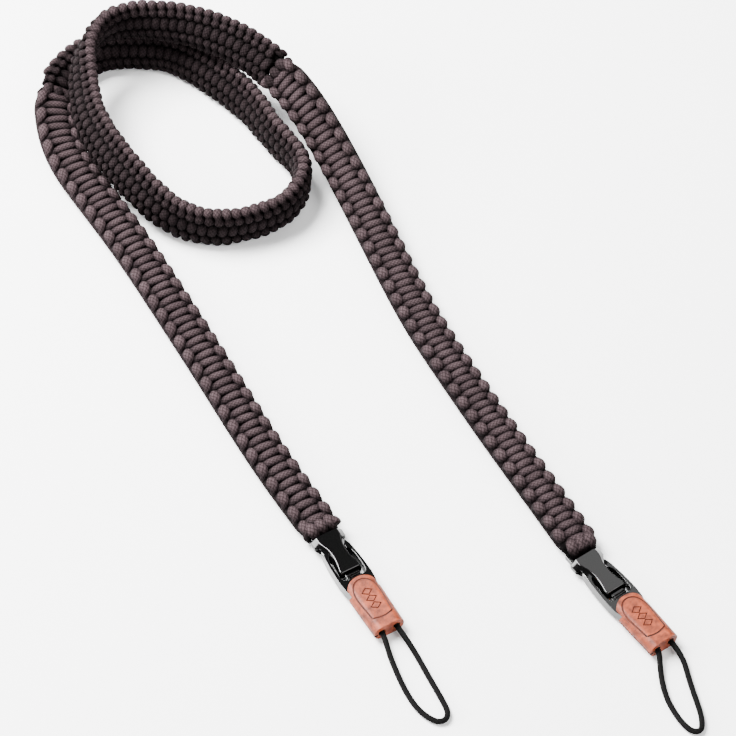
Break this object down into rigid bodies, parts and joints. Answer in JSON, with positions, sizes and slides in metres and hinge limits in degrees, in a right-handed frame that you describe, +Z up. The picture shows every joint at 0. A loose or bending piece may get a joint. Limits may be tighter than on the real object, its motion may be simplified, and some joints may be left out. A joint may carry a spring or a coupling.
{
  "type": "camera neck strap",
  "caption": "Flat strap of knotted cord with a thinner woven neck part, lying in a loose coil, with side-release buckles, leather sleeves and cord loops for a camera.",
  "frame": {"origin": "on the surface that the strap lies on, under the centre of the strap's box without its cord loops", "axes": "+Z up; -Y from the coiled neck part towards the cord loops; +X to the right as seen from the loops' side"},
  "size_m": [0.3032, 0.3898, 0.0422],
  "materials": {
    "paracord": "fine woven sheath, dull, with a faint sheen",
    "buckle_plastic": "moulded, glossy",
    "sleeve_leather": "embossed, satin, with paler cut edges",
    "loop_cord": "braided, dull"
  },
  "bodies": {
    "root": {"neck_braid": "paracord", "left_leg_braid": "paracord", "right_leg_braid": "paracord", "left_buckle_socket": "buckle_plastic", "right_buckle_socket": "buckle_plastic", "left_buckle_plug": "buckle_plastic", "right_buckle_plug": "buckle_plastic", "left_leather_sleeve": "sleeve_leather", "right_leather_sleeve": "sleeve_leather", "left_cord_loop": "loop_cord", "right_cord_loop": "loop_cord"}
  },
  "joints": []
}
